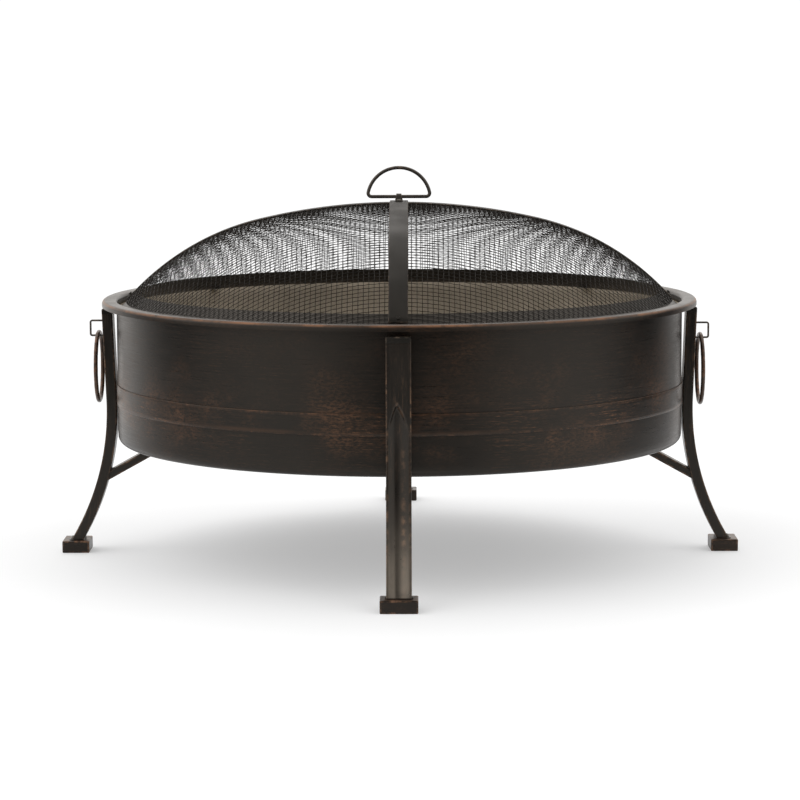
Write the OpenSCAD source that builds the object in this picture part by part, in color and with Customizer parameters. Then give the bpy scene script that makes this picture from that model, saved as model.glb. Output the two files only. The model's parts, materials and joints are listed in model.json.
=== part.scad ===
// Round steel fire pit with a domed spark screen and a log grate.
// Millimetres, +Z up, origin on the floor under the centre, front leg towards -Y.

/* [Bowl] */
// Outer diameter of the rim
rim_d = 762; // [740:2:780]
// Height of the rim's top above the floor
rim_h = 330; // [320:1:345]
// Outer diameter of the bowl wall
wall_d = 725; // [722:1:728]
// Depth from the rim's top to the underside of the floor
bowl_depth = 182; // [178:1:186]
// Sheet thickness of the bowl
sheet_t = 1.2; // [1:0.1:1.6]
// Drop of the turned-down rim edge
lip_drop = 8; // [7:0.5:9]
// Outer bend radius at the rim and at the inner edge of the rim
rim_bend_r = 5; // [4:0.5:6]
// Outer radius of the corner between wall and floor
corner_r = 8; // [6:1:12]

/* [Band] */
// Height of the band's lower edge above the floor
band_z = 197; // [195:1:199]
// Width of the band
band_w = 26.5; // [25:0.5:28]
// Thickness of the band
band_t = 1.5; // [1.2:0.1:1.8]

/* [Legs] */
// Tangential width of the leg tube
leg_w = 30; // [27:0.5:32]
// Radial thickness of the leg tube
leg_t = 13.5; // [12:0.5:15]
// Wall thickness of the leg and brace tubes
tube_wall = 1.5; // [1.2:0.1:2]
// Height of the top of the leg, with its cap
leg_top_z = 316; // [312:1:318]
// Height of the cap on the leg
cap_h = 7; // [6:1:9]
// Radius of the leg's outward bend, on its outer face
leg_bend_r = 330; // [325:1:335]
// Height where the leg is upright, at the start of the bend
leg_bend_z = 188; // [184:1:192]
// Outward lean of the straight upper leg in degrees
leg_lean = 2.25; // [1:0.25:2.5]
// Tangential width of a foot
foot_w = 45; // [42:1:50]
// Radial length of a foot
foot_l = 35; // [33:1:38]
// Height of a foot
foot_h = 15.5; // [14:0.5:18]

/* [Braces] */
// Width of the brace tube
brace_w = 25; // [22:1:27]
// Thickness of the brace tube
brace_t = 10; // [9:0.5:11]
// Slope of the brace where it meets the leg, in degrees
brace_slope = 29; // [27:1:31]
// Centreline radius of the brace's bend
brace_bend_r = 124; // [110:2:130]
// Radius from the centre where the brace becomes level
brace_level_r = 266; // [262:1:270]
// Radius from the centre where the brace ends
brace_end_r = 205; // [195:1:215]

/* [Ring handles] */
// Outer diameter of a ring handle
ring_d = 94; // [90:1:98]
// Bar diameter of a ring handle
ring_bar_d = 5.5; // [5:0.25:6]
// Height of the lower arm's top on the left staple
staple_left_z = 282; // [279:1:285]
// Height of the lower arm's top on the right staple
staple_right_z = 277; // [274:1:285]
// Clear height inside a staple
staple_gap_h = 17; // [16:0.5:19]
// Reach of a staple from the leg
staple_reach = 21.5; // [20:0.5:23]
// Thickness of the staple strip
staple_t = 2.2; // [2:0.1:2.5]
// Width of the staple strip
staple_w = 5; // [4:0.5:6]

/* [Spark screen] */
// Height of the dome's crown above the rim's top
dome_rise = 122.5; // [120:0.5:125]
// Radius of the flat crown arc
crown_r = 782; // [775:1:790]
// Radius of the steeper shoulder arc
shoulder_r = 329; // [326:1:332]
// Radius from the axis where crown and shoulder meet
shoulder_start_r = 180; // [176:1:184]
// Slope of the dome where its shoulder runs straight to the edge, in degrees
skirt_slope = 45; // [43:1:47]
// Radius from the axis where the mesh ends
mesh_edge_r = 350.5; // [348:0.5:351]
// Thickness of the woven mesh
mesh_t = 1.8; // [1.6:0.1:2]
// Width of the two straps
strap_w = 23.5; // [22:0.5:25]
// Thickness of the two straps
strap_t = 1.2; // [1:0.1:1.4]
// Outer radius of the hem ring
hem_r = 357; // [356:0.5:357.5]
// Depth of the hem ring's lower edge below the rim's top
hem_drop = 9.5; // [8.5:0.5:11]

/* [Lift handle] */
// Bar diameter of the lift handle
bail_bar_d = 4.5; // [4:0.25:5]
// Height of the lift handle's arc above its bar, on the centreline
bail_h = 37; // [35:0.5:39]
// Depth of the arc's centre below the bar
bail_drop = 3.25; // [2:0.25:4]
// Radius of the lift handle's corners, on the centreline
bail_corner_r = 4.5; // [4:0.5:8]
// Height of the lift handle's pivot above the top strap
bail_pivot_h = 5.8; // [5.6:0.1:6.5]

/* [Log grate] */
// Outer diameter of the log grate
grate_d = 526; // [500:2:550]
// Wire diameter of the grate's rim and feet
grate_rim_wire = 6; // [5:0.5:8]
// Wire diameter of the grate's bars
grate_bar_wire = 5; // [4:0.5:6]
// Number of bars in the grate
grate_bar_count = 13; // [9:2:15]
// Height of the grate's rim centre above the bowl's floor
grate_stand_h = 35; // [30:1:40]

/* [Hidden] */
$fn = 96;

bronze = [0.16, 0.13, 0.11];
worn_bronze = [0.36, 0.22, 0.14];
dark_steel = [0.2, 0.19, 0.18];
zinc = [0.55, 0.55, 0.53];

round_fn = 180;                  // facets shown on the large rings
fine_fn = 720;                   // facets of a curve that a small part follows
cut = 1;                         // overrun of a cutting shape
touch = 0.1;                     // gap between parts that bear on each other
seam_step = 0.04;                // a straight lies this much off the tangent of its bend
seam_angle = 0.3;                // angle by which a tube's bend runs into its straights
bar_seam_angle = 2.5;            // the same for the lift handle's small corners
seam_run = 5;                    // how far the dome's shoulder arc runs on under the skirt
bolt_d = 6;
bolt_hole_d = 6.4;
bolt_head_d = 12;
bolt_head_h = 4;
bolt_head_taper = 4;             // a bolt head's crown is this much smaller than its base

rim_r = rim_d / 2;
wall_r = wall_d / 2;
inner_r = wall_r - sheet_t;
floor_under_z = rim_h - bowl_depth;
floor_z = floor_under_z + sheet_t;
bend_inner_r = rim_bend_r - sheet_t;
band_r = wall_r + band_t;
band_edge = 0.6;                 // chamfer on the band's edges

front = -90;
right = 0;
back = 90;
left = 180;
leg_angles = [front, right, back, left];

// The leg's outer face is an arc about this centre. Its inner face bears on the band.
leg_inner_x = band_r + touch;
leg_centre_x = leg_inner_x + leg_t + leg_bend_r;
leg_outer_r = leg_bend_r + leg_t;
leg_foot_angle = asin((leg_bend_z - foot_h) / leg_bend_r);
leg_straight_l = (leg_top_z - cap_h - leg_bend_z) / cos(leg_lean) - leg_bend_r * tan(leg_lean);
foot_inset = 1;                  // the foot's middle lies this much inside the leg's
foot_mid_x = leg_centre_x - (leg_bend_r + leg_t / 2) * cos(leg_foot_angle) - foot_inset;
foot_edge_r = 1.5;
leg_cut = [120, 2 * leg_w, 40];  // block that trims the leg's end level
cap_edge_r = 1;
plug_gap = 0.3;
plug_l = 10;

wall_bolt_z = band_z + band_w / 2;
wall_bolt_l = 10;
wall_hole_in = 10;               // a wall bolt's hole is cut from this far inside the wall
wall_hole_out = 2;               // and to this far inside the leg
floor_bolt_l = 20;

brace_z = floor_under_z - brace_t / 2;
brace_reach = 66;                // length of the sloping end, into the leg
floor_bolt_x = brace_end_r + 22;
nut_d = 11.5;
nut_h = 5;
nut_bore_d = bolt_d + 0.1;

// The staples and their rings hang on the outer face of the left and right legs.
staple_base_x = leg_inner_x + leg_t;
ring_r = (ring_d - ring_bar_d) / 2;
ring_x = staple_base_x + 10;     // the ring hangs in the middle of the staple's window
staple_root = 2;                 // the arms start this far inside the leg's outline
ring_rest_gap = 0.35;

dome_top_z = rim_h + dome_rise;
crown_end_angle = asin(shoulder_start_r / crown_r);
crown_centre_z = dome_top_z - crown_r;
shoulder_centre_x = shoulder_start_r - shoulder_r * sin(crown_end_angle);
shoulder_centre_z = crown_centre_z + (crown_r - shoulder_r) * cos(crown_end_angle);
skirt_x = shoulder_centre_x + shoulder_r * sin(skirt_slope);
skirt_z = shoulder_centre_z + shoulder_r * cos(skirt_slope);
skirt_l = 50;                    // longer than any layer, which is then cut level

// Depths of the screen's layers below the dome's outer surface
front_back_depth = 0;
left_right_depth = strap_t;
mesh_depth = 2 * strap_t;
hem_depth = mesh_depth + mesh_t + touch;

mesh_edge_z = skirt_layer_z(mesh_edge_r, mesh_depth);
strap_edge_z = mesh_edge_z + 2.5; // the straps end a little above the mesh's edge
hem_t = 1.7;                     // measured upright
hem_top_r = skirt_x - 1;
hem_bend_r = mesh_edge_r - 1;
hem_z = rim_h - hem_drop;        // upper side of the lower edge
hem_rivet_l = 13;                // distance of the rivets down the skirt
rivet_d = 3;
rivet_hole_d = 3.2;
rivet_hole_l = 20;               // both kinds of rivet hole run right through every layer
rivet_head_d = 6;
rivet_head_h = 1.4;
rivet_head_taper = 2;

tab_w = 16;
tab_t = 1.5;
tab_reach = 12;
tab_trim = 4;                    // the wall's curve is taken from this deep a strip of the tab
tab_h = 18;
tab_top_z = hem_z - hem_t - touch;
tab_angles = [45, 135, 225, 315];

bail_pivot_z = dome_top_z + bail_pivot_h;
bail_r = bail_h + bail_drop;
bail_corner_x = sqrt(pow(bail_r - bail_corner_r, 2) - pow(bail_corner_r + bail_drop, 2));
bail_corner_angle = atan2(bail_corner_r + bail_drop, bail_corner_x);
clip_bore_d = bail_bar_d + 0.14; // a loose running fit
clip_barrel_d = 8;
clip_w = 7;
clip_base_w = 10;
clip_base_l = 24;
clip_base_t = 1.4;
clip_edge_r = 2;
clip_rivet_y = 8;

grate_rim_z = floor_z + grate_stand_h;
grate_r = (grate_d - grate_rim_wire) / 2;
grate_pitch = 2 * grate_r / (grate_bar_count + 1);
grate_foot_x = 95;
grate_foot_y = 170;
grate_bar_over = 1;              // the bars end this far past the middle of the rim's wire
grate_cross_gap = 3;             // the short cross bars end this far inside the rim's wire

// ---------- shared shapes ----------

// A ring of round bar about Z.
module torus(r, bar_d) {
    rotate_extrude($fn = round_fn) translate([r, 0]) circle(d = bar_d, $fn = 32);
}

// A part of a ring of round bar about Z, from one angle to another.
module bar_arc(r, bar_d, from, to) {
    rotate([0, 0, from]) rotate_extrude(angle = to - from) translate([r, 0]) circle(d = bar_d, $fn = 32);
}

// A quarter ring between two radii, in the quadrant that starts at the given angle.
module quarter(outer, thickness, from) {
    rotate(from) intersection() {
        difference() {
            circle(r = outer);
            circle(r = outer - thickness);
        }
        square(outer);
    }
}

// A round bar along X, centred.
module bar_x(d, l) {
    rotate([0, 90, 0]) cylinder(d = d, h = l, center = true, $fn = 32);
}

// A round bar along Y, centred.
module bar_y(d, l) {
    rotate([90, 0, 0]) cylinder(d = d, h = l, center = true, $fn = 32);
}

// Height of a layer of the dome's skirt at a radius from the axis.
function skirt_layer_z(x, depth) =
    skirt_z - depth * cos(skirt_slope) - (x - skirt_x + depth * sin(skirt_slope)) * tan(skirt_slope);

// A plate with rounded upright corners, standing on its origin plane.
module rounded_plate(size, r) {
    translate([-size.x / 2, -size.y / 2 + r, 0]) cube([size.x, size.y - 2 * r, size.z]);
    translate([-size.x / 2 + r, -size.y / 2, 0]) cube([size.x - 2 * r, size.y, size.z]);
    for (sx = [-1, 1], sy = [-1, 1])
        translate([sx * (size.x / 2 - r), sy * (size.y / 2 - r), 0]) cylinder(r = r, h = size.z, $fn = 32);
}

// ---------- bowl ----------

module bowl_profile() {
    flange_in = wall_r + bend_inner_r;
    // rim: inner bend, flat top, outer bend and turned-down lip
    translate([flange_in, rim_h - rim_bend_r]) quarter(rim_bend_r, sheet_t, 90);
    translate([flange_in, rim_h - sheet_t]) square([rim_r - rim_bend_r - flange_in, sheet_t]);
    translate([rim_r - rim_bend_r, rim_h - rim_bend_r]) quarter(rim_bend_r, sheet_t, 0);
    translate([rim_r - sheet_t, rim_h - lip_drop]) square([sheet_t, lip_drop - rim_bend_r]);
    // wall, corner and floor
    translate([inner_r, floor_under_z + corner_r])
        square([sheet_t, rim_h - rim_bend_r - floor_under_z - corner_r]);
    translate([wall_r - corner_r, floor_under_z + corner_r]) quarter(corner_r, sheet_t, 270);
    translate([0, floor_under_z]) square([wall_r - corner_r, sheet_t]);
}

module bowl() {
    color(bronze) difference() {
        rotate_extrude($fn = round_fn) bowl_profile();
        at_legs() wall_bolt_hole();
        at_legs() floor_bolt_hole();
    }
}

module bowl_band() {
    color(worn_bronze) difference() {
        rotate_extrude($fn = round_fn) translate([wall_r, band_z]) polygon([
            [0, 0], [band_t - band_edge, 0], [band_t, band_edge],
            [band_t, band_w - band_edge], [band_t - band_edge, band_w], [0, band_w]
        ]);
        at_legs() wall_bolt_hole();
    }
}

module screen_rest_tabs() {
    color(bronze) for (a = tab_angles) rotate([0, 0, a]) {
        difference() {
            translate([inner_r - tab_reach, -tab_w / 2, tab_top_z - tab_h]) cube([tab_reach, tab_w, tab_h]);
            translate([inner_r - tab_reach - cut, -tab_w / 2 - cut, tab_top_z - tab_h - cut])
                cube([tab_reach - tab_t + cut, tab_w + 2 * cut, tab_h - tab_t + cut]);
            // the back follows the curve of the wall
            difference() {
                translate([inner_r - tab_trim, -tab_w, 0]) cube([2 * tab_trim, 2 * tab_w, rim_h]);
                cylinder(r = inner_r, h = rim_h, $fn = fine_fn);
            }
        }
    }
}

// ---------- legs ----------

module at_legs() {
    for (a = leg_angles) rotate([0, 0, a]) children();
}

module wall_bolt_hole() {
    hole_l = wall_hole_in + sheet_t + band_t + touch + tube_wall + wall_hole_out;
    translate([inner_r - wall_hole_in, 0, wall_bolt_z]) rotate([0, 90, 0])
        cylinder(d = bolt_hole_d, h = hole_l);
}

module floor_bolt_hole() {
    translate([floor_bolt_x, 0, floor_under_z - brace_t - cut])
        cylinder(d = bolt_hole_d, h = brace_t + sheet_t + 2 * cut);
}

// The leg's outside shape, or its hollow when inset is more than 0.
module leg_shape(inset = 0) {
    over = inset > 0 ? cut : 0;
    t = leg_t - 2 * inset;
    w = leg_w - 2 * inset;
    translate([leg_centre_x, 0, leg_bend_z]) {
        rotate([90, 0, 0]) rotate([0, 0, 180 - leg_lean])
            rotate_extrude(angle = leg_foot_angle + leg_lean + over, $fn = round_fn)
                translate([leg_bend_r + inset, -w / 2]) square([t, w]);
        rotate([0, leg_lean, 0]) translate([-leg_outer_r + inset, -w / 2, 0])
            cube([t, w, leg_straight_l + over]);
    }
}

module leg() {
    color(bronze) difference() {
        leg_shape();
        leg_shape(tube_wall);
        wall_bolt_hole();
        // the foot end is cut level with the top of the foot
        translate([leg_inner_x, -leg_cut.y / 2, foot_h - leg_cut.z]) cube(leg_cut);
    }
}

module leg_caps() {
    plug = tube_wall + plug_gap;
    color(bronze) at_legs() translate([leg_centre_x, 0, leg_bend_z]) rotate([0, leg_lean, 0]) {
        translate([-leg_outer_r + leg_t / 2, 0, leg_straight_l])
            rounded_plate([leg_t, leg_w, cap_h], cap_edge_r);
        translate([-leg_outer_r + plug, -leg_w / 2 + plug, leg_straight_l - plug_l])
            cube([leg_t - 2 * plug, leg_w - 2 * plug, plug_l]);
    }
}

module foot() {
    color(bronze) translate([foot_mid_x, 0, 0]) rounded_plate([foot_l, foot_w, foot_h], foot_edge_r);
}

// ---------- braces ----------

// The brace's outside shape, or its hollow when inset is more than 0.
module brace_shape(inset = 0) {
    over = inset > 0 ? cut : 0;
    t = brace_t - 2 * inset;
    w = brace_w - 2 * inset;
    level_l = brace_level_r - brace_end_r;
    translate([brace_end_r - over, -w / 2, brace_z - t / 2]) cube([level_l + over, w, t]);
    translate([brace_level_r, 0, brace_z - brace_bend_r]) {
        rotate([90, 0, 0]) rotate([0, 0, 90 - brace_slope - seam_angle])
            rotate_extrude(angle = brace_slope + 2 * seam_angle, $fn = round_fn)
                translate([brace_bend_r, 0]) square([t - seam_step, w - seam_step], center = true);
        rotate([0, brace_slope, 0]) translate([0, -w / 2, brace_bend_r - t / 2])
            cube([brace_reach + over, w, t]);
    }
}

module brace() {
    color(bronze) difference() {
        brace_shape();
        brace_shape(tube_wall);
        leg_shape();
        floor_bolt_hole();
    }
}

// ---------- fasteners of the stand ----------

// A bolt with a low tapered head on its origin plane, its shank pointing down.
module bolt(shank_l) {
    cylinder(d1 = bolt_head_d, d2 = bolt_head_d - bolt_head_taper, h = bolt_head_h, $fn = 48);
    translate([0, 0, -shank_l]) cylinder(d = bolt_d, h = shank_l, $fn = 32);
}

module wall_bolts() {
    color(zinc) at_legs() translate([inner_r - touch, 0, wall_bolt_z]) rotate([0, -90, 0]) bolt(wall_bolt_l);
}

module floor_bolts() {
    color(zinc) at_legs() translate([floor_bolt_x, 0, floor_z + touch]) bolt(floor_bolt_l);
}

module floor_nuts() {
    color(zinc) at_legs() translate([floor_bolt_x, 0, floor_under_z - brace_t - touch - nut_h]) difference() {
        cylinder(d = nut_d, h = nut_h, $fn = 6);
        translate([0, 0, -cut]) cylinder(d = nut_bore_d, h = nut_h + 2 * cut, $fn = 32);
    }
}

// ---------- ring handles ----------

module staple(z) {
    outer_x = staple_base_x + staple_reach;
    color(worn_bronze) difference() {
        union() {
            for (arm_z = [z - staple_t, z + staple_gap_h])
                translate([staple_base_x - staple_root, -staple_w / 2, arm_z])
                    cube([staple_reach + staple_root, staple_w, staple_t]);
            translate([outer_x - staple_t, -staple_w / 2, z - staple_t])
                cube([staple_t, staple_w, staple_gap_h + 2 * staple_t]);
        }
        leg_shape();
    }
}

module ring(z) {
    color(worn_bronze) translate([ring_x, 0, z + ring_rest_gap + ring_bar_d / 2 - ring_r])
        rotate([0, 90, 0]) torus(ring_r, ring_bar_d);
}

// ---------- log grate ----------

module grate_rim() {
    color(dark_steel) translate([0, 0, grate_rim_z]) torus(grate_r, grate_rim_wire);
}

module grate_bars() {
    bar_z = grate_rim_z + (grate_rim_wire + grate_bar_wire) / 2;
    half = (grate_bar_count - 1) / 2;
    color(dark_steel) for (i = [-half:half])
        translate([i * grate_pitch, 0, bar_z])
            bar_y(grate_bar_wire, 2 * (sqrt(pow(grate_r, 2) - pow(i * grate_pitch, 2)) + grate_bar_over));
}

module grate_cross_bars() {
    inside_r = grate_r - grate_rim_wire / 2;
    short_l = 2 * (sqrt(pow(inside_r, 2) - pow(grate_foot_y, 2)) - grate_cross_gap);
    color(dark_steel) for (y = [-grate_foot_y, 0, grate_foot_y])
        translate([0, y, grate_rim_z]) bar_x(grate_rim_wire, y == 0 ? 2 * (inside_r - touch) : short_l);
}

module grate_feet() {
    foot_top = grate_rim_z - grate_rim_wire / 2;
    color(dark_steel) for (x = [-grate_foot_x, grate_foot_x], y = [-grate_foot_y, grate_foot_y])
        translate([x, y, floor_z + touch])
            cylinder(d = grate_rim_wire, h = foot_top - floor_z - touch, $fn = 32);
}

// ---------- spark screen ----------

// The outline of everything under one layer of the dome, beside the axis.
module dome_outline(depth) {
    x1 = shoulder_start_r - depth * sin(crown_end_angle);
    x2 = skirt_x - depth * sin(skirt_slope);
    z2 = skirt_z - depth * cos(skirt_slope) - seam_step;
    intersection() {
        translate([0, crown_centre_z]) circle(r = crown_r - depth, $fn = fine_fn);
        square([x1, dome_top_z]);
    }
    intersection() {
        translate([shoulder_centre_x, shoulder_centre_z]) circle(r = shoulder_r - depth, $fn = fine_fn);
        square([x2 + seam_run, dome_top_z]);
    }
    x3 = x2 + skirt_l * cos(skirt_slope);
    polygon([[x2, 0], [x3, 0], [x3, z2 - skirt_l * sin(skirt_slope)], [x2, z2]]);
}

// One layer of the dome, cut level at its lower edge.
module dome_layer(depth, t, edge_z) {
    rotate_extrude($fn = round_fn) difference() {
        dome_outline(depth);
        dome_outline(depth + t);
        square([rim_r, edge_z]);
    }
}

module hem_rivet_at() {
    at_legs() translate([skirt_x, 0, skirt_z]) rotate([0, skirt_slope, 0])
        translate([hem_rivet_l, 0, 0]) children();
}

module clip_rivet_at() {
    for (y = [-clip_rivet_y, clip_rivet_y]) translate([0, y, dome_top_z]) children();
}

module rivet_hole() {
    translate([0, 0, -rivet_hole_l / 2]) cylinder(d = rivet_hole_d, h = rivet_hole_l, $fn = 32);
}

module screen_mesh() {
    color(dark_steel) difference() {
        dome_layer(mesh_depth, mesh_t, mesh_edge_z);
        hem_rivet_at() rivet_hole();
        clip_rivet_at() rivet_hole();
    }
}

// A strap over the dome, from front to back where it is turned by 0.
module strap(depth, turn) {
    color(dark_steel) difference() {
        intersection() {
            dome_layer(depth, strap_t, strap_edge_z);
            rotate([0, 0, turn]) translate([-strap_w / 2, -rim_r, 0]) cube([strap_w, rim_d, 2 * rim_h]);
        }
        hem_rivet_at() rivet_hole();
        clip_rivet_at() rivet_hole();
    }
}

module screen_hem() {
    top_z = skirt_layer_z(hem_top_r, hem_depth);
    bend_z = skirt_layer_z(hem_bend_r, hem_depth);
    color(bronze) difference() {
        rotate_extrude($fn = round_fn) polygon([
            [hem_top_r, top_z], [hem_bend_r, bend_z], [hem_r, hem_z],
            [hem_r, hem_z - hem_t], [hem_bend_r, bend_z - hem_t], [hem_top_r, top_z - hem_t]
        ]);
        hem_rivet_at() rivet_hole();
    }
}

// A rivet with a domed head, its shank pointing down.
module rivet(shank_l) {
    cylinder(d1 = rivet_head_d, d2 = rivet_head_d - rivet_head_taper, h = rivet_head_h, $fn = 32);
    translate([0, 0, -shank_l]) cylinder(d = rivet_d, h = shank_l, $fn = 32);
}

module strap_rivets() {
    color(dark_steel) hem_rivet_at() rivet(hem_depth + hem_t);
}

module handle_clip() {
    color(dark_steel) difference() {
        union() {
            translate([0, 0, dome_top_z + touch])
                rounded_plate([clip_base_w, clip_base_l, clip_base_t], clip_edge_r);
            translate([0, 0, bail_pivot_z]) rotate([0, 90, 0])
                cylinder(d = clip_barrel_d, h = clip_w, center = true, $fn = 48);
            translate([-clip_w / 2, -clip_barrel_d / 2, dome_top_z + touch])
                cube([clip_w, clip_barrel_d, bail_pivot_h - touch]);
        }
        translate([0, 0, bail_pivot_z]) bar_x(clip_bore_d, clip_w + 2 * cut);
        clip_rivet_at() rivet_hole();
    }
}

module clip_rivets() {
    seat = clip_base_t + 2 * touch;
    color(zinc) clip_rivet_at() translate([0, 0, seat]) rivet(seat + mesh_depth + mesh_t);
}

module lift_handle() {
    color(dark_steel) translate([0, 0, bail_pivot_z]) {
        bar_x(bail_bar_d, 2 * bail_corner_x);
        rotate([90, 0, 0]) {
            translate([0, -bail_drop, 0])
                bar_arc(bail_r, bail_bar_d, bail_corner_angle, 180 - bail_corner_angle);
            for (s = [0, 1]) mirror([s, 0, 0]) translate([bail_corner_x, bail_corner_r, 0])
                bar_arc(
                    bail_corner_r, bail_bar_d - seam_step,
                    -90 - bar_seam_angle, bail_corner_angle + bar_seam_angle
                );
        }
    }
}

// ---------- nodes ----------

bowl();
bowl_band();
screen_rest_tabs();
rotate([0, 0, front]) leg();  // leg_front
rotate([0, 0, right]) leg();  // leg_right
rotate([0, 0, back]) leg();  // leg_back
rotate([0, 0, left]) leg();  // leg_left
rotate([0, 0, front]) brace();  // brace_front
rotate([0, 0, right]) brace();  // brace_right
rotate([0, 0, back]) brace();  // brace_back
rotate([0, 0, left]) brace();  // brace_left
rotate([0, 0, front]) foot();  // foot_front
rotate([0, 0, right]) foot();  // foot_right
rotate([0, 0, back]) foot();  // foot_back
rotate([0, 0, left]) foot();  // foot_left
leg_caps();
wall_bolts();
floor_bolts();
floor_nuts();
rotate([0, 0, left]) staple(staple_left_z);  // staple_left
rotate([0, 0, right]) staple(staple_right_z);  // staple_right
rotate([0, 0, left]) ring(staple_left_z);  // ring_left
rotate([0, 0, right]) ring(staple_right_z);  // ring_right
grate_rim();
grate_bars();
grate_cross_bars();
grate_feet();
screen_mesh();
screen_hem();
strap(front_back_depth, 0);  // strap_front_back
strap(left_right_depth, back);  // strap_left_right
strap_rivets();
handle_clip();
clip_rivets();
lift_handle();
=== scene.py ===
"""Looks of the round fire pit: antique bronze bowl, woven spark screen, bent legs and ring handles."""

import json
import math

import bpy
import numpy as np
from mathutils import Matrix, Vector


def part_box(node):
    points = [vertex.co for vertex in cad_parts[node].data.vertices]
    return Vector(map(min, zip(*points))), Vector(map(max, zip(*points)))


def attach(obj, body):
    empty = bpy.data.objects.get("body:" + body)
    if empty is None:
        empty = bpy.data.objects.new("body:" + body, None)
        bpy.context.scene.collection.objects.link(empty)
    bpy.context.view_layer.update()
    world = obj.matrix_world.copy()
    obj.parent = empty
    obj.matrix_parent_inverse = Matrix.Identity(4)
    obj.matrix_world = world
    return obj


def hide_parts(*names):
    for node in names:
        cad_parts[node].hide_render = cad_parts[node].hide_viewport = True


MM = 0.001
TURN = {"front": -90, "right": 0, "back": 90, "left": 180}

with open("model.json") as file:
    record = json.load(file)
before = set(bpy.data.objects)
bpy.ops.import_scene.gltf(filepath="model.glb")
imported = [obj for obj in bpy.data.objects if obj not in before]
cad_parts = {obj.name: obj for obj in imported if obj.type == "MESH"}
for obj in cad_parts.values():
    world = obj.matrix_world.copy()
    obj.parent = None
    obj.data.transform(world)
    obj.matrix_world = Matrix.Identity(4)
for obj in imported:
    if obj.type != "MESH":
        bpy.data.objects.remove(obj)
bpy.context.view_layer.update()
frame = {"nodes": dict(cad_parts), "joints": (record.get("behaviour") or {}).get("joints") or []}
JOINTS = {joint["name"]: joint for joint in frame["joints"]}


# ---------- places from the frame ----------

RIM_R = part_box("bowl")[1].x
RIM_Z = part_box("bowl")[1].z
FLOOR_UNDER_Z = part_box("bowl")[0].z
BAND_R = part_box("bowl_band")[1].x
BAND_LOW, BAND_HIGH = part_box("bowl_band")[0].z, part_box("bowl_band")[1].z
DOME_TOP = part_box("strap_front_back")[1].z
HEM_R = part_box("screen_hem")[1].x
HEM_LOW, HEM_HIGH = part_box("screen_hem")[0].z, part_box("screen_hem")[1].z
MESH_EDGE_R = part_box("screen_mesh")[1].x
LEG_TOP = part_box("leg_caps")[1].z
LEG_TUBE_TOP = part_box("leg_right")[1].z
LEG_INNER_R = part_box("leg_right")[0].x
LEG_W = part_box("leg_right")[1].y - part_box("leg_right")[0].y
FOOT_LOW, FOOT_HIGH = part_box("foot_right")
BRACE_LOW, BRACE_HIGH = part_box("brace_right")
PIVOT_Z = JOINTS["lift_handle_turn"]["pos_m"][2]


# ---------- sizes that only the looks need ----------

SEGMENTS = 288                   # round the bowl, its band and the screen's hem
SHEET = 1.2 * MM
RIM_BEND_R = 5 * MM
BAND_T = 1.5 * MM
WALL_R = BAND_R - BAND_T

LEG_T = 13.5 * MM
LEG_CORNER_R = 1.3 * MM
LEG_LEAN = math.radians(2.25)    # the straight part leans out going up
LEG_BEND_R = 330 * MM            # the outer face bends about a centre outside the leg
LEG_BEND_Z = 188 * MM
LEG_CENTRE_R = LEG_INNER_R + LEG_T + LEG_BEND_R
LEG_SINK = 2 * MM                # how far a leg's outer face runs into its foot

# the valley that is pressed into a leg's outer face, left and right as seen from outside
CREASE_CENTRE = 2.2 * MM         # its bottom, left of the leg's middle
CREASE_TO_LEFT, CREASE_TO_RIGHT = 11.3 * MM, 15.6 * MM
CREASE_DEPTH, CREASE_POWER = 4.4 * MM, 1.3
CREASE_RUN = 7 * MM              # height over which it reaches its depth below the arch
ARCH_TOP, ARCH_FALL, ARCH_POWER = 238 * MM, 34 * MM, 1.4

BRACE_W, BRACE_T = 25 * MM, 10 * MM
BRACE_CORNER_R = 1.6 * MM
BRACE_SLOPE = math.radians(29)
BRACE_BEND_R = 124 * MM
BRACE_LEVEL_R = 266 * MM         # where the level inner part ends

# the dome's outer surface: a crown arc, a shoulder arc and a straight skirt
CROWN_R = 782 * MM
SHOULDER_R = 329 * MM
SHOULDER_START = 180 * MM
SKIRT_SLOPE = math.radians(45)
STRAP_W, STRAP_T = 23.5 * MM, 1.2 * MM
MESH_DEPTH = 3.1 * MM            # middle of the woven mesh, below the outer surface
MESH_PITCH = 6.35 * MM
WIRE_R = 0.4 * MM
HEM_DEPTH = 4.3 * MM             # the hem's upper side, below the outer surface
HEM_T = 1.7 * MM

FLOOR_R = 1350 * MM
FLOOR_GLOW = 0.355
WARM = (1.0, 0.93, 0.84)         # tint of the paint's gloss

# the camera: metres, degrees and millimetres of focal length
CAMERA_DISTANCE, CAMERA_HEIGHT, CAMERA_SHIFT = 3.8126, 0.6663, 0.0005
CAMERA_AZIMUTH, CAMERA_PITCH, CAMERA_ROLL = 0.2, 7.04, -0.203
CAMERA_LENS, CAMERA_SENSOR = 133.72, 36.0

# the studio's lights: where each one shines from, the cosine at which its lobe starts, and its
# strengths there and straight along it
LIGHTS = (
    ((-0.22, 1.0, 0.0), 0.32, 0.01, 1.12),       # the lit sweep behind the fire pit
    ((0.0, 0.8, 1.0), 0.62, 0.0, 2.1),           # high at the back
    ((-0.75, -0.15, 0.65), 0.6, 0.0, 2.2),       # high on the left
    ((0.75, -0.15, 0.65), 0.6, 0.0, 1.7),        # high on the right
    ((-0.74, -0.60, 0.36), 0.58, 0.0, 1.25),     # low on the left, in front
    ((0.84, -0.42, 0.36), 0.6, 0.0, 1.35),       # low on the right, in front
)
LIGHT_TINT = (1.0, 0.965, 0.93)
BACKDROP_WHITE = 1.05            # strength of the white that the camera sees behind everything


# ---------- geometry helpers ----------

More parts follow.
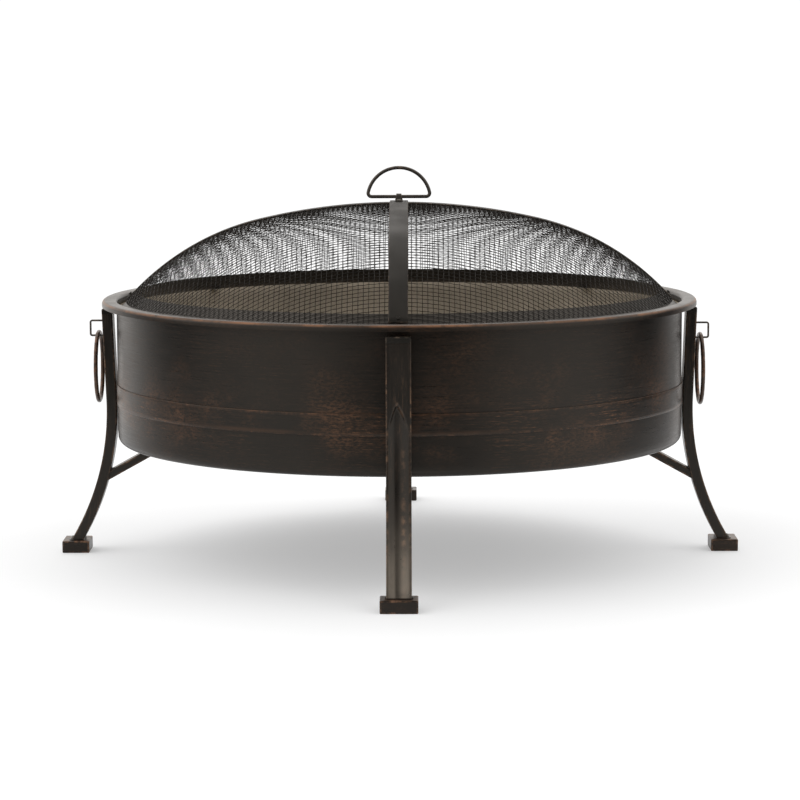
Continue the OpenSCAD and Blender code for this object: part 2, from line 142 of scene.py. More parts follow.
def arc(x, z, radius, start, stop, count):
    """Points of an arc about (x, z), angles in degrees."""
    angles = np.radians(np.linspace(start, stop, count))
    return [(x + radius * math.cos(a), z + radius * math.sin(a)) for a in angles]


def thick_line(line, thickness):
    """The two long sides of a sheet whose middle line is given, as two lists of points."""
    points = np.array(line)
    ahead = np.gradient(points, axis=0)
    ahead /= np.linalg.norm(ahead, axis=1)[:, None]
    across = np.stack([-ahead[:, 1], ahead[:, 0]], 1) * thickness / 2
    return [tuple(p) for p in points + across], [tuple(p) for p in points - across]


def piece(name, points, faces, body, material, stands_for=(), wear=None, angle=40, groups=None):
    """Makes a mesh piece that rides on a body. wear is a 0 to 1 value for each vertex, angle is the bend
    in degrees from which an edge is shaded sharp, and groups is each face's place in a list of materials."""
    mesh = bpy.data.meshes.new(name)
    mesh.from_pydata([tuple(p) for p in points], [], faces)
    materials = material if isinstance(material, (list, tuple)) else [material]
    for each in materials:
        mesh.materials.append(each)
    if groups is not None:
        mesh.polygons.foreach_set("material_index", groups)
    values = np.zeros(len(points), np.float32) if wear is None else np.array(wear, np.float32)
    mesh.attributes.new("wear", "FLOAT", "POINT").data.foreach_set("value", values)
    mesh.update()
    mesh.shade_smooth()
    mesh.set_sharp_from_angle(angle=math.radians(angle))
    obj = bpy.data.objects.new(name, mesh)
    bpy.context.scene.collection.objects.link(obj)
    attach(obj, body)
    if stands_for:
        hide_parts(*stands_for)


def lathe(outline, closed=True, ripple=None):
    """Turns an outline of (radius, z) points about Z. Points on the axis become one vertex."""
    points, faces, rows = [], [], []
    for radius, z in outline:
        if radius < 1e-6:
            rows.append([len(points)] * SEGMENTS)
            points.append((0, 0, z))
            continue
        rows.append(list(range(len(points), len(points) + SEGMENTS)))
        for k in range(SEGMENTS):
            angle = 2 * math.pi * k / SEGMENTS
            r = radius + (ripple(angle, z) if ripple else 0)
            points.append((r * math.cos(angle), r * math.sin(angle), z))
    pairs = list(zip(rows, rows[1:])) + ([(rows[-1], rows[0])] if closed else [])
    for low, high in pairs:
        for k in range(SEGMENTS):
            n = (k + 1) % SEGMENTS
            corners = [low[k], low[n], high[n], high[k]]
            corners = [c for i, c in enumerate(corners) if c not in corners[:i]]
            if len(corners) > 2:
                faces.append(corners)
    return points, faces


def sweep(stations, closed=False):
    """Joins rings of points, one ring for each station, into a tube with flat ends or into a loop."""
    count = len(stations[0])
    points = [p for ring in stations for p in ring]
    faces = []
    for i in range(len(stations) if closed else len(stations) - 1):
        a, b = i * count, ((i + 1) % len(stations)) * count
        for k in range(count):
            n = (k + 1) % count
            faces.append([a + k, a + n, b + n, b + k])
    if not closed:
        faces.append(list(range(count))[::-1])
        faces.append(list(range(len(points) - count, len(points))))
    return points, faces


def round_bar(path, radius, sides=20, uneven=0.0):
    """A closed loop of round bar along a path of 3-D points that lies in one plane. uneven is the share
    of the radius by which it gets thinner in places."""
    line = np.array(path, float)
    ahead = np.roll(line, -1, 0) - np.roll(line, 1, 0)
    ahead /= np.linalg.norm(ahead, axis=1)[:, None]
    flat = np.linalg.svd(line - line.mean(0), full_matrices=False)[2][2]
    turns = np.linspace(0, 2 * math.pi, sides, endpoint=False)
    rings = []
    for i, (point, direction) in enumerate(zip(line, ahead)):
        side = np.cross(direction, flat)
        r = radius * (1 - uneven * (0.5 + 0.5 * math.sin(i * 0.9) * math.sin(i * 0.37)))
        rings.append([tuple(point + r * (math.cos(t) * side + math.sin(t) * flat)) for t in turns])
    return sweep(rings, closed=True)


def rounded_rect(width, height, radius, steps=4, across=1):
    """A rounded rectangle about the origin as (u, v, corner), where corner is 1 on its rounded corners.
    A point just beyond each corner keeps the flats free of wear. across is the number of parts that the
    top and the bottom are split into."""
    margin = 0.7 * MM
    half_u, half_v = width / 2 - radius, height / 2 - radius
    points = []
    for cu, cv, start in (
        (half_u, half_v, 0), (-half_u, half_v, 90), (-half_u, -half_v, 180), (half_u, -half_v, 270),
    ):
        points += [(u, v, 1.0) for u, v in arc(cu, cv, radius, start, start + 90, steps)]
        level = start in (0, 180)
        sign = 1 if start < 180 else -1
        half = half_u if level else half_v
        guard = min(0.5, margin / (2 * half))
        between = [k / across for k in range(1, across)] if level else []
        for share in [guard, *between, 1 - guard]:
            along = sign * (half - 2 * half * share)
            points.append((along, sign * height / 2, 0.0) if level else (-sign * width / 2, along, 0.0))
    return points


def strip(line, thick, width_at, corner_r, edge_wear):
    """A flat strip bent along a line of (out, z) points, as points of (out, across, z), faces and wear.
    width_at gives its width at a point of the line."""
    stations, wear = [], []
    for (out_0, z_0), (out_1, z_1) in zip(*thick_line(line, thick)):
        width = width_at((out_0 + out_1) / 2, (z_0 + z_1) / 2)
        ring = []
        for u, v, corner in rounded_rect(width, thick, corner_r, 3):
            part = v / thick + 0.5
            ring.append((out_1 + (out_0 - out_1) * part, u, z_1 + (z_0 - z_1) * part))
            wear.append(edge_wear * corner)
        stations.append(ring)
    return *sweep(stations), wear


def turned(points, degrees):
    """Points turned about Z."""
    c, s = math.cos(math.radians(degrees)), math.sin(math.radians(degrees))
    return [(c * x - s * y, s * x + c * y, z) for x, y, z in points]


def dome_point(radius, depth=0.0):
    """Height of a dome layer at a distance from the axis, and its slope angle."""
    crown, shoulder = CROWN_R - depth, SHOULDER_R - depth
    crown_angle = math.asin(SHOULDER_START / CROWN_R)
    crown_z = DOME_TOP - CROWN_R
    shoulder_x = SHOULDER_START - SHOULDER_R * math.sin(crown_angle)
    shoulder_z = crown_z + (CROWN_R - SHOULDER_R) * math.cos(crown_angle)
    crown_end = SHOULDER_START - depth * math.sin(crown_angle)
    shoulder_end = shoulder_x + shoulder * math.sin(SKIRT_SLOPE)
    if radius <= crown_end:
        return crown_z + math.sqrt(crown ** 2 - radius ** 2), math.asin(radius / crown)
    if radius <= shoulder_end:
        away = radius - shoulder_x
        return shoulder_z + math.sqrt(shoulder ** 2 - away ** 2), math.asin(away / shoulder)
    skirt_z = shoulder_z + shoulder * math.cos(SKIRT_SLOPE)
    return skirt_z - (radius - shoulder_end) * math.tan(SKIRT_SLOPE), SKIRT_SLOPE


# ---------- material helpers ----------

class Shader:
    """A node material under construction. Places are in metres in the row frame."""

    def __init__(self, name):
        self.material = bpy.data.materials.new(name)
        self.material.use_nodes = True
        self.tree = self.material.node_tree
        self.surface = self.tree.nodes["Principled BSDF"]
        self.place = self.node("ShaderNodeTexCoord").outputs["Object"]

    def node(self, kind, inputs=(), **settings):
        made = self.tree.nodes.new(kind)
        for key, value in settings.items():
            setattr(made, key, value)
        for key, value in dict(inputs).items():
            if isinstance(value, bpy.types.NodeSocket):
                self.tree.links.new(value, made.inputs[key])
            else:
                made.inputs[key].default_value = value
        return made

    def noise(self, scale, detail=3.0, roughness=0.55, offset=0.0):
        """Noise in features per metre, as one number or as one each along X, Y and Z."""
        scales = (scale, scale, scale) if isinstance(scale, (int, float)) else scale
        where = self.node(
            "ShaderNodeMapping", {"Vector": self.place, "Scale": scales, "Location": (offset, offset, offset)}
        )
        return self.node(
            "ShaderNodeTexNoise",
            {"Vector": where.outputs[0], "Scale": 1.0, "Detail": detail, "Roughness": roughness},
        ).outputs[0]

    def ramp(self, value, low, high, out_low=0.0, out_high=1.0):
        """A smooth step from out_low to out_high while the value goes from low to high."""
        return self.node(
            "ShaderNodeMapRange",
            {"Value": value, "From Min": low, "From Max": high, "To Min": out_low, "To Max": out_high},
            interpolation_type="SMOOTHSTEP",
        ).outputs[0]

    def spots(self, scale, low, high, detail=3.0, roughness=0.55, offset=0.0, ends=(0.0, 1.0)):
        """Noise that is ends[0] where it is below low and ends[1] where it is above high."""
        return self.ramp(self.noise(scale, detail, roughness, offset), low, high, *ends)

    def math(self, operation, a, b):
        return self.node("ShaderNodeMath", {0: a, 1: b}, operation=operation).outputs[0]

    def times(self, a, b):
        return self.math("MULTIPLY", a, b)

    def plus(self, a, b):
        return self.math("ADD", a, b)

    def larger(self, a, b):
        return self.math("MAXIMUM", a, b)

    def mix(self, factor, a, b):
        """Two colours mixed. The mix node's inputs 6 and 7 and its output 2 are the ones for colours."""
        made = self.node("ShaderNodeMix", {"Factor": factor}, data_type="RGBA")
        for key, value in ((6, a), (7, b)):
            if isinstance(value, bpy.types.NodeSocket):
                self.tree.links.new(value, made.inputs[key])
            else:
                made.inputs[key].default_value = (*value, 1.0)
        return made.outputs[2]

    def height(self):
        return self.node("ShaderNodeSeparateXYZ", {"Vector": self.place}).outputs["Z"]

    def away_from(self, height):
        """How far a place is above or below a height."""
        return self.math("ABSOLUTE", self.math("SUBTRACT", self.height(), height), 0.0)

    def facing_up(self):
        """The upward part of the surface's normal, 1 where it faces straight up."""
        normal = self.node("ShaderNodeTexCoord").outputs["Normal"]
        return self.node("ShaderNodeSeparateXYZ", {"Vector": normal}).outputs["Z"]

    def wear(self):
        return self.node("ShaderNodeAttribute", attribute_name="wear").outputs["Fac"]

    def finish(self, colour, roughness, metallic, bump, distance, specular=0.5, tint=(1.0, 1.0, 1.0)):
        self.tree.links.new(colour, self.surface.inputs["Base Color"])
        for key, value in (("Roughness", roughness), ("Metallic", metallic)):
            if isinstance(value, bpy.types.NodeSocket):
                self.tree.links.new(value, self.surface.inputs[key])
            else:
                self.surface.inputs[key].default_value = value
        self.surface.inputs["Specular IOR Level"].default_value = specular
        self.surface.inputs["Specular Tint"].default_value = (*tint, 1.0)
        bumped = self.node("ShaderNodeBump", {"Height": bump, "Strength": 0.5, "Distance": distance})
        self.tree.links.new(bumped.outputs[0], self.surface.inputs["Normal"])
        return self.material


def bronze(
    name, streak, dark, tone, copper, brushing=0.35, edge=0.8, roughness=(0.27, 0.35), lines=(), belt=None,
    specular=0.35, chip=(0.4, 0.64), painted_highlight=None,
):
    """Dark paint with dry-brushed copper along the streak direction, and copper where edges are rubbed.
    lines are (height, half width, strength) of rubbed lines round the bowl. belt is the height and the
    half width of a zone round the bowl that is brushed more than the rest. chip is the stretch of noise
    in which an edge goes from paint to copper. The last argument is a painted highlight: a lighter colour
    and the two heights between which faces that look up turn into it going down, for the light they catch."""
    shader = Shader(name)
    base = shader.mix(shader.spots(7.0, 0.3, 0.7, offset=3.1), dark, tone)

    # dry brushing: long streaks, broken up by grit and left out in large patches
    streaks = shader.noise(streak, 4.0, 0.6, offset=1.7)
    grit_scale = tuple(min(6 * k, 900.0) for k in streak)
    brushed = shader.times(
        shader.ramp(streaks, 0.42, 0.75), shader.spots(grit_scale, 0.42, 0.7, roughness=0.7, offset=6.3),
    )
    brushed = shader.times(brushed, shader.spots(6.0, 0.36, 0.66, 2.0, offset=8.2))
    rub = shader.times(brushed, brushing)
    if belt:
        middle, half_width = belt
        speckle = shader.spots((180.0, 180.0, 420.0), 0.38, 0.66, 4.0, 0.7, offset=2.9)
        blotch = shader.times(speckle, shader.spots(11.0, 0.42, 0.66, 4.0, offset=7.4))
        rub = shader.larger(rub, shader.times(blotch, 0.34))
        fade = shader.ramp(shader.away_from(middle), 0.3 * half_width, half_width, 1.0, 0.3)
        rub = shader.times(rub, fade)
    for place, half_width, strength in lines:
        line = shader.ramp(shader.away_from(place), 0.0, half_width, strength, 0.0)
        broken = shader.times(line, shader.spots(16.0, 0.36, 0.66, 5.0, 0.6, offset=5.5))
        rub = shader.larger(rub, broken)

    # rubbed edges: small chips, fewer in some stretches than in others
    chips = shader.spots(120.0, *chip, 5.0, 0.65, offset=0.4)
    chips = shader.times(chips, shader.spots(17.0, 0.36, 0.6, 2.0, offset=4.2, ends=(0.3, 1.0)))
    rub = shader.larger(rub, shader.times(shader.times(shader.wear(), chips), edge))

    colour = shader.mix(rub, base, copper)
    rough = shader.plus(shader.ramp(streaks, 0.3, 0.7, *roughness), shader.times(rub, 0.08))
    metallic = shader.times(rub, 0.5)
    # painted highlight: low faces that tilt up turn lighter and more metallic, in place of the light they
    # catch
    if painted_highlight:
        highlight_colour, heights = painted_highlight
        highlight_mask = shader.ramp(shader.height(), *heights, 0.75, 0.0)
        highlight_mask = shader.times(highlight_mask, shader.ramp(shader.facing_up(), 0.12, 0.4))
        highlight_mask = shader.times(highlight_mask, shader.spots(26.0, 0.3, 0.6, 4.0, 0.6, offset=9.4, ends=(0.5, 1.0)))
        colour = shader.mix(highlight_mask, colour, highlight_colour)
        metallic = shader.larger(metallic, highlight_mask)
    grain = shader.plus(shader.times(streaks, 0.15), shader.noise(1100.0, 2.0))
    return shader.finish(colour, rough, metallic, grain, 0.04 * MM, specular, WARM)


def painted(
    name, dark, tone, worn, roughness=(0.4, 0.55), scale=60.0, grain=700.0, metallic=0.0, specular=0.5,
):
    """Plain high-heat paint with a fine orange-peel surface and rubbed edges."""
    edge = 0.6
    shader = Shader(name)
    base = shader.mix(shader.spots(scale, 0.3, 0.7), dark, tone)
    chips = shader.spots(160.0, 0.42, 0.62, 5.0, 0.65, offset=0.9)
    colour = shader.mix(shader.times(shader.times(shader.wear(), chips), edge), base, worn)
    rough = shader.spots(scale * 0.6, 0.3, 0.7, 2.0, offset=2.2, ends=roughness)
    return shader.finish(colour, rough, metallic, shader.noise(grain, 2.0), 0.08 * MM, specular, WARM)


def interior_paint_and_light():
    """The bowl's inside: pale, dull, finely speckled paint that gets darker towards the floor. Its paleness
    is partly the paint's colour and partly painted light for the lit inner wall, and a painted shadow of the
    screen's hem lies over its top in the outside's dark colour."""
    shader = Shader("bowl_inside_paint")
    # pale: partly the paint's colour, partly painted light for the lit inner wall
    pale = shader.mix(shader.spots(5.0, 0.3, 0.7), (0.42, 0.37, 0.295), (0.6, 0.53, 0.43))
    low = shader.ramp(shader.height(), FLOOR_UNDER_Z, BAND_LOW + 25 * MM, 0.62, 0.0)
    base = shader.mix(low, pale, (0.09, 0.078, 0.065))
    speckle = shader.spots(420.0, 0.55, 0.72, roughness=0.7, ends=(0.0, 0.5))
    colour = shader.mix(speckle, base, (0.06, 0.05, 0.04))
    # painted shadow: the top of the inside turns dark where the screen's hem shades the wall
    uneven_height = shader.plus(shader.height(), shader.times(shader.noise(60.0), 3 * MM))
    colour = shader.mix(shader.ramp(uneven_height, HEM_SHADOW_Z, HEM_SHADOW_Z + 3 * MM), colour, DARK)
    rough = shader.spots(40.0, 0.3, 0.7, ends=(0.5, 0.66))
    return shader.finish(colour, rough, metallic=0.0, bump=shader.noise(500.0), distance=0.2 * MM)


# ---------- paints ----------

DARK = (0.0045, 0.0038, 0.0032)
TONE = (0.0098, 0.0078, 0.0064)
COPPER = (0.24, 0.115, 0.06)
BELT = (BAND_LOW + 9 * MM, 42 * MM)
HEM_SHADOW_Z = 325 * MM           # above this the inside is painted dark: a painted shadow of the screen's hem on the wall under the rim
AROUND = (22.0, 22.0, 800.0)     # brush strokes round the bowl
UPRIGHT = (230.0, 230.0, 14.0)   # brush strokes along the legs

wall_bronze = bronze(
    "bronze_wall", AROUND, DARK, TONE, COPPER, brushing=0.7, edge=1.0, specular=0.3, chip=(0.2, 0.55),
    belt=BELT,
)
band_bronze = bronze(
    "bronze_band", AROUND, DARK, TONE, COPPER, brushing=1.2, edge=0.35, specular=0.3, belt=BELT,
    lines=((BAND_HIGH, 1 * MM, 0.3), (BAND_LOW + 3 * MM, 4 * MM, 0.12)),
)
leg_bronze = bronze(
    "bronze_legs", UPRIGHT, DARK, TONE, (0.26, 0.15, 0.09),
    # painted highlight on the legs' lower faces that look up
    painted_highlight=((0.13, 0.114, 0.095), (20 * MM, 170 * MM)),
)
ring_bronze = bronze(
    "bronze_rings", (70.0, 70.0, 70.0), (0.022, 0.012, 0.008), (0.045, 0.024, 0.015), (0.3, 0.15, 0.085),
    brushing=0.4, roughness=(0.24, 0.36),
)
foot_bronze = bronze(
    "bronze_feet", (60.0, 60.0, 240.0), (0.01, 0.008, 0.007), (0.02, 0.015, 0.012), (0.24, 0.135, 0.085),
    specular=0.25,
)
inside_paint_and_light = interior_paint_and_light()
strap_paint = painted(
    "strap_paint", (0.009, 0.0084, 0.0075), (0.015, 0.0138, 0.0122), (0.16, 0.12, 0.09), scale=25.0,
    specular=0.13,
)
wire_paint = painted(
    "wire_paint", (0.007, 0.0062, 0.0055), (0.014, 0.0125, 0.011), (0.2, 0.15, 0.11), grain=1500.0,
    specular=0.12,
)
hem_paint = painted(
    "hem_paint", (0.012, 0.01, 0.0085), (0.02, 0.0175, 0.015), (0.3, 0.24, 0.18), (0.3, 0.42), scale=14.0,
)
grate_paint = painted(
    "grate_paint", (0.012, 0.011, 0.011), (0.028, 0.026, 0.025), (0.16, 0.1, 0.07), (0.5, 0.66),
)
handle_paint = painted(
    "handle_paint", (0.02, 0.018, 0.017), (0.034, 0.031, 0.028), (0.24, 0.17, 0.12), (0.3, 0.44),
)
bolt_zinc = painted(
    "bolt_zinc", (0.1, 0.095, 0.085), (0.19, 0.18, 0.165), (0.4, 0.36, 0.3), (0.35, 0.5), metallic=0.85,
)


# ---------- bowl ----------

def bowl():
    """One sheet: a flat floor, an upright wall, a flat rim and a lip turned down at the rim's edge."""
    half = SHEET / 2
    corner = 8 * MM
    lip_low = RIM_Z - 8 * MM
    rubbed_in, rubbed_width, most_rubbed = 1.2 * MM, 1.7 * MM, 0.8
    line = [(r, FLOOR_UNDER_Z + half) for r in (0.0, 120 * MM, 240 * MM)]
    line += arc(WALL_R - corner, FLOOR_UNDER_Z + corner, corner - half, -90, 0, 9)
    line += [(WALL_R - half, z) for z in np.linspace(FLOOR_UNDER_Z + corner, RIM_Z - RIM_BEND_R, 30)[1:-1]]
    inside = len(line) - 1
    line += arc(WALL_R + RIM_BEND_R - SHEET, RIM_Z - RIM_BEND_R, RIM_BEND_R - half, 180, 90, 7)
    line += arc(RIM_R - RIM_BEND_R, RIM_Z - RIM_BEND_R, RIM_BEND_R - half, 90, 0, 7)
    line.append((RIM_R - half, lip_low))
    inner, outer = thick_line(line, SHEET)
    inner[0], outer[0] = (0.0, FLOOR_UNDER_Z + SHEET), (0.0, FLOOR_UNDER_Z)

    def ripple(angle, z):
        """Slight hand-rolled waviness of the wall's sheet, none at the floor or the rim."""
        share = (z - FLOOR_UNDER_Z) / (RIM_Z - FLOOR_UNDER_Z - RIM_BEND_R)
        part = math.sin(math.pi * min(1.0, max(0.0, share)))
        wave = 0.5 * math.sin(5 * angle + 0.7) + 0.3 * math.sin(11 * angle + 21 * z)
        wave += 0.2 * math.sin(23 * angle)
        return -0.12 * MM * part * (1 + wave)

    points, faces = lathe(inner + outer[::-1], closed=False, ripple=ripple)
    heights = np.array([p[2] for p in points])
    radii = np.array([math.hypot(p[0], p[1]) for p in points])
    from_corner = np.hypot(radii - RIM_R + rubbed_in, heights - RIM_Z + rubbed_in)
    wear = np.clip(1.3 - from_corner / rubbed_width, 0.0, most_rubbed)
    groups = [1] * (SEGMENTS * inside) + [0] * (len(faces) - SEGMENTS * inside)
    piece(
        "bowl_shell", points, faces, "stand_and_bowl", [wall_bronze, inside_paint_and_light], ["bowl"],
        wear, angle=30, groups=groups,
    )


def band():
    """The hoop round the lower wall, with rounded and rubbed outer edges."""
    edge = 0.5 * MM
    rubbed_width = 0.7 * MM
    outline = [(WALL_R, BAND_LOW), (BAND_R - edge, BAND_LOW)]
    outline += arc(BAND_R - edge, BAND_LOW + edge, edge, -90, 0, 4)
    outline += [(BAND_R, z) for z in np.linspace(BAND_LOW + edge, BAND_HIGH - edge, 8)[1:-1]]
    outline += arc(BAND_R - edge, BAND_HIGH - edge, edge, 0, 90, 4)
    outline.append((WALL_R, BAND_HIGH))

    def ripple(angle, z):
        return -0.1 * MM * (1 + math.sin(7 * angle + 0.4) * math.sin(13 * angle))

    points, faces = lathe(outline, ripple=ripple)
    wear = [1.0 if min(abs(p[2] - BAND_LOW), abs(p[2] - BAND_HIGH)) < rubbed_width else 0.0 for p in points]
    piece("bowl_hoop", points, faces, "stand_and_bowl", band_bronze, ["bowl_band"], wear)


# ---------- legs ----------

def leg_station(t):
    """The outer face's point and outward normal in the leg's radial plane, for t from 0 at the foot to 1
    at the top."""
    foot_angle = math.asin((LEG_BEND_Z - FOOT_HIGH.z + LEG_SINK) / LEG_BEND_R)
    arc_length = LEG_BEND_R * (foot_angle + LEG_LEAN)
    start = (
        LEG_CENTRE_R - LEG_BEND_R * math.cos(LEG_LEAN),
        LEG_BEND_Z + LEG_BEND_R * math.sin(LEG_LEAN),
    )
    straight = (LEG_TUBE_TOP - LEG_T * math.sin(LEG_LEAN) - start[1]) / math.cos(LEG_LEAN)
    length = t * (arc_length + straight)
    if length < arc_length:
        angle = foot_angle - length / LEG_BEND_R
        normal = (math.cos(angle), math.sin(angle))
        return (LEG_CENTRE_R - LEG_BEND_R * normal[0], LEG_BEND_Z - LEG_BEND_R * normal[1]), normal
    along = length - arc_length
    normal = (math.cos(LEG_LEAN), -math.sin(LEG_LEAN))
    return (start[0] + along * math.sin(LEG_LEAN), start[1] + along * math.cos(LEG_LEAN)), normal


def crease_off(across):
    """How far across the valley a place is: 0 at its bottom and 1 at its sides."""
    off = across - CREASE_CENTRE
    return off / CREASE_TO_LEFT if off > 0 else -off / CREASE_TO_RIGHT


def arch_height(off):
    """Height of the pointed arch at which the valley starts."""
    return ARCH_TOP - ARCH_FALL * off ** ARCH_POWER


def crease_depth(across, height):
    """Depth of the valley, which starts at the arch and runs down to the foot."""
    off = crease_off(across)
    if off >= 1:
        return 0.0
    start = min(1.0, max(0.0, (arch_height(off) - height) / CREASE_RUN))
    section = (1 + math.cos(math.pi * off ** CREASE_POWER)) / 2
    return CREASE_DEPTH * section * start * start * (3 - 2 * start)


def bump(distance, width):
    """A smooth bump that is 1 at no distance and fades out over about twice the width."""
    return math.exp(-(distance / width) ** 2)


def crease_wear(across, height):
    """Rubbed places on a leg's outer face: the valley's sides, its arch and a stripe along its low part."""
    side_wear, side_width = 0.55, 0.11
    arch_wear, arch_drop, arch_width, arch_spread = 0.9, 3 * MM, 3.5 * MM, 0.5
    stripe_wear, stripe_place, stripe_width, stripe_top = 0.55, -5.5 * MM, 2.6 * MM, 185 * MM
    off = crease_off(across)
    arch = arch_height(off)
    worn = arch_wear * bump(height - arch + arch_drop, arch_width) * bump(off, arch_spread)
    if height < arch:
        worn = max(worn, side_wear * bump(off - 1, side_width))
    if height < stripe_top:
        worn = max(worn, stripe_wear * bump(across - stripe_place, stripe_width))
    return worn


def legs():
    """Rectangular tubes, bent outwards low down, with a valley pressed into their outer faces."""
    face_gap = 0.05 * MM
    section = rounded_rect(LEG_W, LEG_T, LEG_CORNER_R, across=30)
    stations, wear = [], []
    for t in np.linspace(0, 1, 170):
        (r, z), normal = leg_station(t)
        ring = []
        for across, through, corner in section:
            inward = LEG_T / 2 - through
            worn = 0.6 * corner
            if inward < face_gap:
                inward += crease_depth(across, z)
                worn = max(worn, crease_wear(across, z))
            ring.append((r - inward * normal[0], -across, z - inward * normal[1]))
            wear.append(worn)
        stations.append(ring)
    points, faces = sweep(stations)
    for side, turn in TURN.items():
        piece(
            f"leg_tube_{side}", turned(points, turn), faces, "stand_and_bowl", leg_bronze,
            [f"leg_{side}"], wear, angle=50,
        )


def rounded_block(low, high, radius):
    """A block with rounded and rubbed edges: rounded rectangles that pull in at its top and bottom."""
    size = high - low
    middle = (low + high) / 2
    flat_margin, corner_extra, least_corner = 0.8 * MM, 0.4 * MM, 0.2 * MM
    levels = [(low.z + radius - z, radius - x, True) for x, z in arc(0, 0, radius, 90, 0, 5)]
    levels.append((levels[-1][0] + flat_margin, 0.0, False))
    levels += [(high.z - (z - low.z), inset, curved) for z, inset, curved in levels[::-1]]
    stations, wear = [], []
    for z, inset, curved in levels:
        corner_r = max(radius - inset, least_corner) + corner_extra
        ring = rounded_rect(size.x - 2 * inset, size.y - 2 * inset, corner_r)
        stations.append([(middle.x + x, middle.y + y, z) for x, y, _ in ring])
        wear += [1.0 if curved else 0.75 * corner for _, _, corner in ring]
    points, faces = sweep(stations)
    points.append((middle.x, middle.y, high.z))
    wear.append(0.0)
    top = faces.pop()
    faces += [[a, b, len(points) - 1] for a, b in zip(top, top[1:] + top[:1])]
    return points, faces, wear


def feet():
    """Blocks under the legs."""
    points, faces, wear = rounded_block(FOOT_LOW, FOOT_HIGH, 1.4 * MM)
    for side, turn in TURN.items():
        piece(
            f"foot_block_{side}", turned(points, turn), faces, "stand_and_bowl", foot_bronze,
            [f"foot_{side}"], wear, angle=60,
        )


def foot_welds():
    """A small uneven weld bead round each leg where it meets its foot."""
    bead_r, spread, rise = 1.5 * MM, 1 * MM, 0.4 * MM
    (r, _), normal = leg_station(0.004)
    length = LEG_T / normal[0]
    loop = rounded_rect(length + spread, LEG_W + spread, 2 * MM, 5)
    path = [(r - length / 2 + x, y, FOOT_HIGH.z + rise) for x, y, _ in loop]
    points, faces = round_bar(path, bead_r, sides=8, uneven=0.45)
    for side, turn in TURN.items():
        piece(
            f"foot_weld_{side}", turned(points, turn), faces, "stand_and_bowl", foot_bronze,
        )


def leg_caps():
    """Plugs in the tops of the leg tubes, all in one piece; they are domed and lean with the legs."""
    # share of the cap's height and inset in millimetres
    levels = ((-0.03, 0.5), (0.02, 0.1), (0.09, 0.0), (0.8, 0.0), (0.92, 0.35), (0.99, 1.0), (1.0, 2.0))
    rubbed_from = 0.85
    (r, z), normal = leg_station(1.0)
    ahead = (math.sin(LEG_LEAN), math.cos(LEG_LEAN))
    stations, wear = [], []
    for share, inset in levels:
        up = share * (LEG_TOP - LEG_TUBE_TOP)
        section = rounded_rect(LEG_W - 2 * inset * MM, LEG_T - 2 * inset * MM, 1.2 * MM)
        ring = []
        for across, through, corner in section:
            inward = LEG_T / 2 - through
            x = r - inward * normal[0] + up * ahead[0]
            ring.append((x, -across, z - inward * normal[1] + up * ahead[1]))
            wear.append(0.8 if share > rubbed_from else 0.5 * corner)
        stations.append(ring)
    points, faces = sweep(stations)
    all_points, all_faces = [], []
    for turn in TURN.values():
        all_faces += [[k + len(all_points) for k in face] for face in faces]
        all_points += turned(points, turn)
    piece(
        "leg_plugs", all_points, all_faces, "stand_and_bowl", strap_paint, ["leg_caps"],
        wear * len(TURN), angle=60,
    )


# ---------- braces ----------

def braces():
    """Bent rectangular tubes from under the bowl's floor to the legs, open at their inner ends."""
    z = BRACE_HIGH.z - BRACE_T / 2
    into_leg = 3 * MM
    line = [(r, z, 0.0) for r in (BRACE_LOW.x, BRACE_LOW.x + 20 * MM, BRACE_LEVEL_R)]
    for angle in np.linspace(0, BRACE_SLOPE, 14)[1:]:
        line.append((
            BRACE_LEVEL_R + BRACE_BEND_R * math.sin(angle), z - BRACE_BEND_R * (1 - math.cos(angle)), angle,
        ))
    bend_r, bend_z, _ = line[-1]
    reach = (BRACE_HIGH.x + into_leg - bend_r) / math.cos(BRACE_SLOPE)
    for part in (0.3, 0.6, 0.85, 1.0):
        line.append((
            bend_r + part * reach * math.cos(BRACE_SLOPE), bend_z - part * reach * math.sin(BRACE_SLOPE),
            BRACE_SLOPE,
        ))

    def rings(inset, stops):
        section = rounded_rect(BRACE_W - 2 * inset, BRACE_T - 2 * inset, BRACE_CORNER_R - inset * 0.5)
        for r, height, angle in stops:
            yield [(r + v * math.sin(angle), u, height + v * math.cos(angle)) for u, v, _ in section]

    wall, hollow = 1.5 * MM, [(BRACE_LOW.x + 30 * MM, z, 0.0), (BRACE_LOW.x, z, 0.0)]
    stations = list(rings(wall, hollow)) + list(rings(0.0, line))
    wear = [c * 0.7 for _, _, c in rounded_rect(BRACE_W, BRACE_T, BRACE_CORNER_R)] * len(stations)
    points, faces = sweep(stations)
    for side, turn in TURN.items():
        piece(
            f"brace_tube_{side}", turned(points, turn), faces, "stand_and_bowl", leg_bronze,
            [f"brace_{side}"], wear, angle=50,
        )


# ---------- ring handles ----------

def staple(side, turn):
    """A strip bent into a square hook with both ends on the leg's outer face."""
    low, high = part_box(f"staple_{side}")
    thick, bend, level, into_leg = 2.2 * MM, 2.2 * MM, 6 * MM, 2 * MM
    reach = max(abs(low.x), abs(high.x))
    face = min(abs(low.x), abs(high.x)) - into_leg
    bottom, top = low.z + thick / 2, high.z - thick / 2
    bend_x = reach - thick / 2 - bend
    line = [(face, bottom), (face + level, bottom)]
    line += arc(bend_x, bottom + bend, bend, -90, 0, 6)
    line += arc(bend_x, top - bend, bend, 0, 90, 6)
    line += [(face + level, top), (face, top)]
    points, faces, wear = strip(line, thick, lambda out, z: high.y - low.y, 0.5 * MM, 0.7)
    piece(
        f"staple_strip_{side}", turned(points, turn), faces, "stand_and_bowl", handle_paint,
        [f"staple_{side}"], wear, angle=50,
    )


